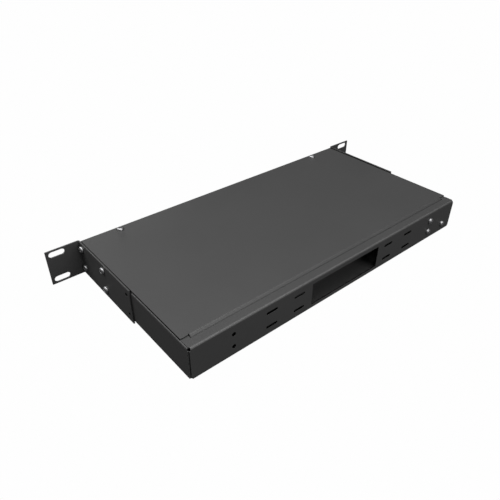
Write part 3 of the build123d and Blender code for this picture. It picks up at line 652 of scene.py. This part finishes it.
def seats_on(node, facing, inset=0.0):
    """A seat on the outer end of each solid of a node, inset from that end."""
    seats = []
    for low, high in solids_of(node):
        middle = (low + high) / 2
        way = facing(middle) if callable(facing) else facing
        reach = (high - low).dot(Vector(abs(part) for part in way)) / 2
        upright = REARWARD if abs(way.z) > 0.5 else UP
        seats.append(Seat(middle + way * (reach - inset), way, upright))
    return seats


def sideways(middle):
    return Vector((math.copysign(1.0, middle.x), 0, 0))


def seat_mesh(name, seats):
    """Points of the seats, with their directions as attributes."""
    mesh = bpy.data.meshes.new(name)
    mesh.from_pydata([seat.point for seat in seats], [], [])
    for label in ("facing", "upright"):
        layer = mesh.attributes.new(label, "FLOAT_VECTOR", "POINT")
        values = [part for seat in seats for part in getattr(seat, label)]
        layer.data.foreach_set("vector", values)
    return mesh


def copies_on_seats(tree):
    """A copy of one piece on each point, facing as the point does, turned at random."""
    chosen = {"data_type": "FLOAT_VECTOR"}
    facing = tree.add("GeometryNodeInputNamedAttribute", chosen, {"Name": "facing"})
    upright = tree.add("GeometryNodeInputNamedAttribute", chosen, {"Name": "upright"})
    faced = tree.add("FunctionNodeAlignRotationToVector", {"axis": "Z"}, {"Vector": facing})
    stood = tree.add(
        "FunctionNodeAlignRotationToVector", {"axis": "Y", "pivot_axis": "Z"},
        {"Rotation": faced, "Vector": upright},
    )
    most = tree.taken("Largest turn")
    angle = tree.add(
        "FunctionNodeRandomValue", {"data_type": "FLOAT"},
        {2: -most, 3: most, "Seed": tree.taken("Seed")}, output=1,
    )
    turn = tree.add("FunctionNodeAxisAngleToRotation", {}, {"Axis": UP, "Angle": angle})
    turned = tree.add(
        "FunctionNodeRotateRotation", {"rotation_space": "LOCAL"},
        {"Rotation": stood, "Rotate By": turn},
    )
    piece = tree.add("GeometryNodeObjectInfo", {}, {"Object": tree.taken("Piece")}, output="Geometry")
    return tree.add(
        "GeometryNodeInstanceOnPoints", {},
        {"Points": tree.taken("Geometry"), "Instance": piece, "Rotation": turned},
    )


def seated(name, template, seats, slot, body, replaced=(), largest_turn=0.0, seed=0):
    """One mesh of template's copies on the seats. It rides on body and stands for replaced nodes."""
    inputs = {"Piece": "Object", "Largest turn": "Float", "Seed": "Int"}
    tree = GrowthTree("Seat on points", inputs, copies_on_seats)
    values = {"Piece": template, "Finish": finish(slot), "Largest turn": largest_turn, "Seed": seed}
    piece = tree.grow(name, seat_mesh(name, seats), values)
    return joined_to(piece, body, replaced)


def joined_to(piece, body, replaced=()):
    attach(piece, body)
    if replaced:
        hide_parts(*replaced)
    return piece


def pan_head(sizes):
    """Half outline of the head, from its crown to its underside, as a squarish superellipse."""
    steps, power_across, power_up = 9, 0.62, 0.8
    rim, top = sizes.head_radius, sizes.head_height
    bevel = top * 0.06
    outline = [(0.0, top)]
    for i in range(1, steps):
        angle = math.pi / 2 * (1 - i / steps)
        outline.append((rim * math.cos(angle) ** power_across, top * math.sin(angle) ** power_up))
    return outline + [(rim, bevel), (rim - bevel, 0.0)]


def thread(sizes, shank):
    """Half outline of a threaded shank below the head, down to its chamfered end."""
    crest, root = sizes.shank_radius, sizes.shank_radius - sizes.thread_depth
    pitch, lead, flank = sizes.thread_pitch, 0.4, 0.45
    outline = [(crest, 0.0)]
    turns = int((shank - pitch) / pitch)
    for i in range(turns):
        top = -(i + lead) * pitch
        outline += [(crest, top), (root, top - pitch * flank)]
    return outline + [(crest, -(turns + lead) * pitch), (root, -shank), (0.0, -shank)]


def screw(sizes, shank):
    """Pan head screw with a cross recess. It stands on Z = 0 with its shank below."""
    blank = lathe("screw", pan_head(sizes) + thread(sizes, shank))
    top, floor = sizes.head_height * 1.1, sizes.head_height - sizes.recess_depth
    wings = []
    for along, across in ((0, 1), (1, 0)):
        points = []
        for level, span, width in (
            (top, sizes.recess_span, sizes.recess_width * 1.1),
            (floor, sizes.recess_span * 0.4, sizes.recess_width * 0.7),
        ):
            for x, y in ((-1, -1), (-1, 1), (1, -1), (1, 1)):
                flat = (x * span / 2, y * width / 2)
                points.append((flat[along], flat[across], level))
        wings.append(hull("wing", points))
    return combine(blank, "DIFFERENCE", *wings)


def hex_nut(sizes):
    """Nut between Z = 0 and its height, with its corners turned off."""
    corner, height = sizes.nut_across_flats / math.sqrt(3), sizes.nut_height
    face = sizes.nut_across_flats / 2 * 0.97
    slope = (corner - face) * 0.58
    prism = lathe("nut", [(0, height), (corner, height), (corner, 0), (0, 0)], segments=6)
    turned = [
        (0, height), (face, height), (corner, height - slope), (corner, slope), (face, 0), (0, 0),
    ]
    combine(prism, "INTERSECT", lathe("turned", turned, segments=48))
    return combine(prism, "DIFFERENCE", bore(sizes, height))


def bore(sizes, height):
    """Cutter for a nut's hole, flared at both mouths."""
    hole, flare = sizes.nut_bore, sizes.nut_bore * 1.18
    above, below, step = height * 1.1, -height * 0.1, flare - hole
    outline = [
        (0, above), (flare, above), (flare, height), (hole, height - step),
        (hole, step), (flare, 0), (flare, below), (0, below),
    ]
    return lathe("bore", outline, segments=28)


def press_nut(sizes):
    """Round clinch nut between Z = 0, on the sheet, and its height."""
    radius, height = sizes.press_nut_radius, sizes.press_nut_height
    chamfer = height * 0.14
    outline = [
        (0, height), (radius - chamfer, height), (radius, height - chamfer),
        (radius, chamfer), (radius * 0.94, 0), (0, 0),
    ]
    return combine(lathe("press_nut", outline), "DIFFERENCE", bore(sizes, height))


class ENCLOSURE_OT_sheet_metal(bpy.types.Operator):
    """Coats the folded body, lid, ears, front panel and adapter plates"""

    bl_idname = "enclosure.sheet_metal"
    bl_label = "Coat the sheet metal"

    def execute(self, context):
        dress("chassis", "lid", "front_panel", "ear_left", "ear_right")
        dress(*(f"adapter_plate_{plate}" for plate in PLATES))
        return {"FINISHED"}


class ENCLOSURE_OT_screws(bpy.types.Operator):
    """Puts a pan head screw in each place that the frame has one"""

    bl_idname = "enclosure.screws"
    bl_label = "Drive the screws"

    def execute(self, context):
        sizes = settings().screws
        facings = {
            "lid_screws": UP, "ear_screws": sideways, "rear_screws": REARWARD, "clamp_screw": UP,
            "tray_screws": UP, "spool_screws": UP,
        }
        for seed, (node, facing) in enumerate(facings.items()):
            seats = seats_on(node, facing, sizes.head_height)
            low, high = solids_of(node)[0]
            extent = (high - low).dot(Vector(abs(part) for part in seats[0].facing))
            template = screw(sizes, extent - sizes.head_height)
            seated(
                f"{node}_driven", template, seats, "zinc", BODIES[node], [node],
                largest_turn=math.pi, seed=seed,
            )
            discard(template)
        return {"FINISHED"}


class ENCLOSURE_OT_nuts(bpy.types.Operator):
    """Puts the nuts and press nuts on, and plates the cable clamp"""

    bl_idname = "enclosure.nuts"
    bl_label = "Fit the nuts and the cable clamp"

    def execute(self, context):
        sizes = settings().screws
        fits = {
            "rear_nuts": (hex_nut, sizes.nut_height, FRONTWARD),
            "lid_press_nuts": (press_nut, sizes.press_nut_height, -UP),
            "ear_press_nuts": (press_nut, sizes.press_nut_height, lambda at: -sideways(at)),
        }
        for seed, (node, (made, height, inwards)) in enumerate(fits.items()):
            template = made(sizes)
            seats = seats_on(node, inwards, height)
            seated(
                f"{node}_fitted", template, seats, "nut_steel", BODIES[node], [node],
                largest_turn=math.pi / 6, seed=seed,
            )
            discard(template)
        dress("clamp_bracket", "clamp_block")
        return {"FINISHED"}


def retaining_spring(sizes, adapter_width):
    """Spring steel saddle over three sides of an adapter, with a tongue above and below."""
    gap, half_tongue, sheet = 0.00005, 0.0016, sizes.spring_sheet
    left, right, top = adapter_width * -0.375, adapter_width / 2 + gap, sizes.adapter_height / 2 + gap
    inner, outer = (
        [(left, top + out), (right + out, top + out), (right + out, -top - out), (left, -top - out)]
        for out in (0, sheet)
    )
    shape = bmesh.new()
    around = [shape.verts.new((x, y, sheet)) for x, y in inner + outer[::-1]]
    face = shape.faces.new(around)
    made = bmesh.ops.extrude_face_region(shape, geom=[face])
    moved = [part for part in made["geom"] if isinstance(part, bmesh.types.BMVert)]
    bmesh.ops.translate(shape, verts=moved, vec=(0, 0, sizes.spring_length - sheet))
    saddle = shaped("spring", shape)
    tongues = []
    for side in (-1, 1):
        low, high = side * (top + sheet * 0.5), side * (top + sizes.spring_reach)
        ends = ((low, sizes.spring_length * 0.8), (high, sizes.spring_length * 0.12))
        points = [
            (x, y + side * lift, z)
            for x in (-half_tongue, half_tongue) for y, z in ends for lift in (0, sheet)
        ]
        tongues.append(hull("tongue", points))
    return combine(saddle, "UNION", *tongues)


def sleeve(sizes):
    """Sleeve holder that stands on the web inside a port, with a flange at its foot."""
    outer, inner, tip = sizes.sleeve_radius, sizes.sleeve_bore, sizes.sleeve_length
    foot, edge = outer * 1.3, (outer - inner) * 0.3
    outline = [
        (inner, 0), (foot, 0), (foot, tip * 0.12), (outer, tip * 0.16),
        (outer, tip - edge), (outer - edge, tip), (inner + edge, tip), (inner, tip - edge),
    ]
    return lathe("sleeve", outline, segments=24, ring=True)


class ENCLOSURE_OT_adapters(bpy.types.Operator):
    """Colours the adapters and gives them their springs and alignment sleeves"""

    bl_idname = "enclosure.adapters"
    bl_label = "Finish the adapters"

    def execute(self, context):
        sizes = settings().front
        plate_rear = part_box("adapter_plate_left")[1].y
        adapters = [f"adapter_{number:02d}" for number in ADAPTERS]
        dress(*adapters)
        low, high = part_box(adapters[0])
        spring = retaining_spring(sizes, high.x - low.x)
        holder = sleeve(sizes)
        for plate in PLATES:
            body = BODIES[f"adapter_plate_{plate}"]
            springs, sleeves = [], []
            for node in (name for name in adapters if BODIES[name] == body):
                low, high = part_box(node)
                middle = (low + high) / 2
                springs.append(Seat(Vector((middle.x, plate_rear, middle.z)), REARWARD, UP))
                for way in (FRONTWARD, REARWARD):
                    sleeves.append(Seat(middle + way * (sizes.port_web / 2), way, UP))
            seated(f"adapter_springs_{plate}", spring, springs, "spring_steel", body)
            seated(f"adapter_sleeves_{plate}", holder, sleeves, "ceramic", body)
        discard(spring, holder)
        return {"FINISHED"}


def dust_cap(sizes, width, height, grip_reach):
    """Soft cap that faces along Z: a hollow plug below Z = 0, a face and a ribbed grip above."""
    edge = sizes.cap_round
    face, wall = sizes.cap_face, sizes.cap_wall
    x, y = width / 2 - sizes.plug_inset_x, height / 2 - sizes.plug_inset_y
    depth, grip = sizes.cap_plug, sizes.cap_grip / 2
    cap = rounded_block("cap", (-width / 2, -height / 2, 0), (width / 2, height / 2, face), edge)
    stem = rounded_block("plug", (-x, -y, -depth), (x, y, face / 2), edge)
    hollow = rounded_block("hollow", (wall - x, wall - y, -2 * depth), (x - wall, y - wall, -wall))
    handle = rounded_block("grip", (-grip, -y, face / 2), (grip, y, grip_reach), edge * 1.6, 3)
    combine(cap, "UNION", stem, handle)
    combine(cap, "DIFFERENCE", hollow)
    spread = (grip_reach - face) / (sizes.cap_ribs + 1)
    half = spread * 0.2
    for i in range(sizes.cap_ribs):
        level = face + (i + 1) * spread
        low = (-grip - half, edge * 2 - y, level - half)
        high = (grip + half, y - edge * 2, level + half)
        combine(cap, "UNION", rounded_block("rib", low, high, half * 0.6))
    return cap


class ENCLOSURE_OT_dust_caps(bpy.types.Operator):
    """Makes the dust caps in front of and behind the adapters"""

    bl_idname = "enclosure.dust_caps"
    bl_label = "Push in the dust caps"

    def execute(self, context):
        sizes = settings().front
        low, high = solids_of("dust_caps_front_left")[0]
        size = high - low
        outer = size.y - sizes.cap_plug
        template = dust_cap(sizes, size.x, size.z, outer)
        for plate in PLATES:
            for end, way in (("front", FRONTWARD), ("rear", REARWARD)):
                node = f"dust_caps_{end}_{plate}"
                seats = seats_on(node, way, outer)
                seated(f"soft_caps_{end}_{plate}", template, seats, "cap_plastic", BODIES[node], [node])
        discard(template)
        return {"FINISHED"}


def plunger_knob(sizes, low, high):
    """Grooved knob and pin that face along Z. The knob's foot is on Z = 0."""
    radius = (high.x - low.x) / 2
    knob, reach = sizes.knob_height, high.y - low.y
    edge = sizes.knob_round
    groove, shaft = radius * 0.68, radius * 0.35
    upper, lower = knob * 0.62, knob * 0.26
    bevel, ease = edge * 0.4, edge * 0.3
    outline = [(0, knob - edge * 0.6), (radius * 0.55, knob - edge * 0.5), (radius * 0.8, knob)]
    for start, end, neck in (
        (knob, upper, ((groove, upper - ease), (groove, lower + ease))), (lower, 0.0, ((shaft, 0.0),)),
    ):
        for i in range(5):
            angle = math.pi / 2 * i / 4
            rise, run = edge * math.cos(angle), edge * math.sin(angle)
            outline.append((radius - edge + run, start - edge + rise))
        outline += [(radius, end + bevel), (radius - bevel, end), *neck]
    tip = knob - reach
    outline += [(shaft, tip + shaft), (shaft * 0.45, tip), (0, tip)]
    return lathe("knob", outline, segments=36)


def plunger_collar(sizes, low, high):
    """Collar that faces along Z with its head on top and a slit barrel below."""
    radius, reach = (high.x - low.x) / 2, high.y - low.y
    head, barrel, inner = sizes.collar_head, sizes.barrel_radius, sizes.barrel_bore
    edge = sizes.knob_round * 0.7
    outline = [
        (inner, -edge), (inner + edge, 0), (radius - edge, 0), (radius, -edge), (radius, -head),
        (barrel, -head), (barrel, -reach * 0.75), (barrel * 0.8, -reach), (inner, -reach),
    ]
    collar = lathe("collar", outline, segments=36, ring=True)
    slits = [
        rounded_block("slit", (-half_x, -half_y, -reach * 1.1), (half_x, half_y, -head * 1.5))
        for half_x, half_y in (
            (sizes.collar_slit / 2, barrel * 1.2), (barrel * 1.2, sizes.collar_slit / 2),
        )
    ]
    return combine(collar, "DIFFERENCE", *slits)


class ENCLOSURE_OT_plungers(bpy.types.Operator):
    """Makes the push plungers that hold the adapter plates"""

    bl_idname = "enclosure.plungers"
    bl_label = "Fit the plungers"

    def execute(self, context):
        sizes = settings().front
        collar = plunger_collar(sizes, *solids_of("plunger_sockets_left")[0])
        for plate in PLATES:
            node = f"plunger_sockets_{plate}"
            seats = seats_on(node, FRONTWARD, sizes.knob_gap)
            seated(f"plunger_collars_{plate}", collar, seats, "plunger_nylon", BODIES[node], [node])
        knob = plunger_knob(sizes, *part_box("plunger_pin_1"))
        for number in PLUNGERS:
            node = f"plunger_pin_{number}"
            seats = seats_on(node, FRONTWARD, sizes.knob_height)
            seated(f"plunger_knob_{number}", knob, seats, "plunger_nylon", BODIES[node], [node])
        discard(collar, knob)
        return {"FINISHED"}


def comb_on_seat(tree):
    """A splice comb: a base with rounded corners and a row of ribs, all one solid."""
    span, width, height = tree.taken("Length"), tree.taken("Width"), tree.taken("Height")
    base_height, thickness = tree.taken("Base height"), tree.taken("Rib thickness")
    base = extruded(tree, span, width, tree.taken("Corner"), base_height)
    sunk = base_height * 0.5
    rib = extruded(tree, span, thickness, thickness * 0.45, height - sunk)
    pitch = (width - thickness) / (tree.taken("Ribs") - 1.0)
    start = tree.add("ShaderNodeCombineXYZ", {}, {"Y": (thickness - width) * 0.5, "Z": sunk})
    step = tree.add("ShaderNodeCombineXYZ", {}, {"Y": pitch})
    row = tree.add(
        "GeometryNodeMeshLine", {}, {"Count": tree.taken("Ribs"), "Start Location": start, "Offset": step}
    )
    ribs = tree.add("GeometryNodeInstanceOnPoints", {}, {"Points": row, "Instance": rib})
    plain = tree.add("GeometryNodeRealizeInstances", {}, {"Geometry": ribs})
    chosen = {"operation": "UNION", "solver": "EXACT"}
    whole = tree.add("GeometryNodeMeshBoolean", chosen, {"Mesh 2": [base, plain]})
    return tree.add(
        "GeometryNodeInstanceOnPoints", {}, {"Points": tree.taken("Geometry"), "Instance": whole}
    )


def extruded(tree, span, width, corner, height):
    """Closed block with rounded upright edges, from Z = 0 up to height."""
    outline = tree.add("GeometryNodeCurvePrimitiveQuadrilateral", {}, {"Width": span, "Height": width})
    fillet = tree.add(
        "GeometryNodeFilletCurve", {"mode": "POLY"}, {"Curve": outline, "Radius": corner, "Count": 4}
    )
    flat = tree.add("GeometryNodeFillCurve", {"mode": "NGONS"}, {"Curve": fillet})
    raised = tree.add(
        "GeometryNodeExtrudeMesh", {}, {"Mesh": flat, "Offset Scale": height, "Individual": False}
    )
    foot = tree.add("GeometryNodeFlipFaces", {}, {"Mesh": flat})
    both = tree.add("GeometryNodeJoinGeometry", {}, {"Geometry": [raised, foot]})
    return tree.add("GeometryNodeMergeByDistance", {}, {"Geometry": both})


class ENCLOSURE_OT_tray(bpy.types.Operator):
    """Finishes the splice tray and its cover, and makes the splice combs"""

    bl_idname = "enclosure.tray"
    bl_label = "Fit the splice tray"

    def execute(self, context):
        sizes = settings().comb
        dress("splice_tray", "splice_tray_cover")
        lengths = ("Length", "Width", "Height", "Base height", "Corner", "Rib thickness")
        inputs = {**dict.fromkeys(lengths, "Float"), "Ribs": "Int"}
        tree = GrowthTree("Splice comb", inputs, comb_on_seat)
        for side in ("left", "right"):
            node = f"splice_holder_{side}"
            low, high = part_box(node)
            size = high - low
            foot = Vector(((low.x + high.x) / 2, (low.y + high.y) / 2, low.z))
            values = {
                "Finish": finish("holder_rubber"), "Length": size.x, "Width": size.y, "Height": size.z,
                "Base height": sizes.base_height, "Corner": sizes.corner,
                "Rib thickness": sizes.rib_thickness, "Ribs": sizes.ribs,
            }
            seat = seat_mesh(node, [Seat(foot, UP, REARWARD)])
            comb = tree.grow(f"splice_comb_{side}", seat, values)
            joined_to(comb, BODIES[node], [node])
        return {"FINISHED"}


class ENCLOSURE_OT_guides(bpy.types.Operator):
    """Finishes the slack spools and the fibre clips"""

    bl_idname = "enclosure.guides"
    bl_label = "Finish the fibre guides"

    def execute(self, context):
        dress("slack_spool_left", "slack_spool_right", "fibre_clips")
        return {"FINISHED"}


def outward(azimuth, elevation):
    """Direction from the origin, with its angles in degrees. Azimuth 0 is the front, 90 is +X."""
    turn, rise = math.radians(azimuth), math.radians(elevation)
    return Vector((
        math.sin(turn) * math.cos(rise), -math.cos(turn) * math.cos(rise), math.sin(rise)
    ))


def camera_axes(studio):
    """Right, up and back of the camera in the frame."""
    roll = math.radians(studio.roll)
    back = outward(studio.azimuth, studio.elevation)
    level = UP.cross(back).normalized()
    upward = back.cross(level)
    right = level * math.cos(roll) + upward * math.sin(roll)
    return right, upward * math.cos(roll) - level * math.sin(roll), back


def softbox(name, place, target, size, watts):
    light = bpy.data.lights.new(name, "AREA")
    light.shape = "RECTANGLE"
    light.size, light.size_y = size
    light.energy = watts
    lamp = placed(name, light)
    lamp.location = place
    lamp.rotation_euler = (place - target).to_track_quat("Z", "Y").to_euler()


def show(holder, kind, output, seen, given):
    """Makes a floor or world show one brightness to the camera and another to everything else."""
    tree = Tree(emptied(holder))
    camera_ray = tree.add("ShaderNodeLightPath", output="Is Camera Ray")
    lit, shown = (
        tree.add(kind, {}, {"Color": (glow, glow, glow, 1), "Strength": 1.0}) for glow in (given, seen)
    )
    surface = tree.add("ShaderNodeMixShader", {}, {0: camera_ray, 1: lit, 2: shown})
    tree.add(output, {}, {"Surface": surface})


class ENCLOSURE_OT_stage(bpy.types.Operator):
    """Sets the floor, the light and the camera"""

    bl_idname = "enclosure.stage"
    bl_label = "Set the stage"

    def execute(self, context):
        studio = settings().studio
        scene = context.scene
        scene.view_settings.view_transform = "Standard"
        self.lay_floor(studio)
        self.light_room(scene, studio)
        self.hang_lamps(studio)
        self.stand_camera(scene, studio)
        return {"FINISHED"}

    def lay_floor(self, studio):
        shape = bmesh.new()
        bmesh.ops.create_grid(shape, x_segments=1, y_segments=1, size=10.0)
        bmesh.ops.translate(shape, verts=shape.verts, vec=(0, 0, CAD_BOX[0].z))
        floor = shaped("floor", shape)
        material = bpy.data.materials.new("floor_white")
        output = "ShaderNodeOutputMaterial"
        show(material, "ShaderNodeEmission", output, studio.white, studio.floor_glow)
        floor.data.materials.append(material)

    def light_room(self, scene, studio):
        scene.world = bpy.data.worlds.new("room")
        output = "ShaderNodeOutputWorld"
        show(scene.world, "ShaderNodeBackground", output, studio.white, studio.room_glow)

    def hang_lamps(self, studio):
        middle = (CAD_BOX[0] + CAD_BOX[1]) / 2
        side = studio.softbox_side
        square, large, strip = (side, side), (side * 1.33, side * 1.33), (side * 1.33, side * 0.25)
        lamps = (
            ("left", 50.0, 45.0, square, studio.left_power),
            ("near", 140.0, 65.0, square, studio.near_power),
            ("rear", 185.0, 25.0, square, studio.rear_power),
            ("right", 230.0, 65.0, square, studio.right_power),
            ("overhead", 0.0, 90.0, large, studio.overhead_power),
            ("front", 0.0, 4.5, strip, studio.front_power),
        )
        for name, azimuth, elevation, size, watts in lamps:
            place = outward(azimuth, elevation) * studio.lamp_distance
            softbox(f"{name}_softbox", place, middle, size, watts)

    def stand_camera(self, scene, studio):
        camera = bpy.data.cameras.new("camera")
        camera.sensor_width = 36.0
        camera.lens = studio.lens
        camera.clip_start = 0.01
        stand = placed("camera", camera)
        turn = Matrix(camera_axes(studio)).transposed().to_4x4()
        stand.matrix_world = Matrix.Translation(studio.camera_place) @ turn
        scene.camera = stand


class VIEW3D_PT_enclosure(bpy.types.Panel):
    """Lists the enclosure's steps in the order they are made"""

    bl_label = "Fibre enclosure"
    bl_idname = "VIEW3D_PT_enclosure"
    bl_space_type = "VIEW_3D"
    bl_region_type = "UI"
    bl_category = "Enclosure"

    def draw(self, context):
        for step in STEPS:
            self.layout.operator(step.bl_idname)
        for group in EnclosureSettings.__annotations__:
            box = self.layout.box()
            chosen = getattr(context.scene.enclosure, group)
            for name in chosen.__annotations__:
                box.prop(chosen, name)


SETTINGS = (
    FinishSettings, ScrewSettings, FrontSettings, CombSettings, StudioSettings, EnclosureSettings,
)
STEPS = (
    ENCLOSURE_OT_sheet_metal, ENCLOSURE_OT_screws, ENCLOSURE_OT_nuts, ENCLOSURE_OT_adapters,
    ENCLOSURE_OT_dust_caps, ENCLOSURE_OT_plungers, ENCLOSURE_OT_tray, ENCLOSURE_OT_guides,
    ENCLOSURE_OT_stage,
)


def register():
    for group in (*SETTINGS, *STEPS, VIEW3D_PT_enclosure):
        bpy.utils.register_class(group)
    bpy.types.Scene.enclosure = PointerProperty(type=EnclosureSettings)


def unregister():
    del bpy.types.Scene.enclosure
    for group in reversed((*SETTINGS, *STEPS, VIEW3D_PT_enclosure)):
        bpy.utils.unregister_class(group)


def main():
    register()
    bpy.ops.enclosure.sheet_metal()
    bpy.ops.enclosure.screws()
    bpy.ops.enclosure.nuts()
    bpy.ops.enclosure.adapters()
    bpy.ops.enclosure.dust_caps()
    bpy.ops.enclosure.plungers()
    bpy.ops.enclosure.tray()
    bpy.ops.enclosure.guides()
    bpy.ops.enclosure.stage()


if __name__ == "__main__":
    main()
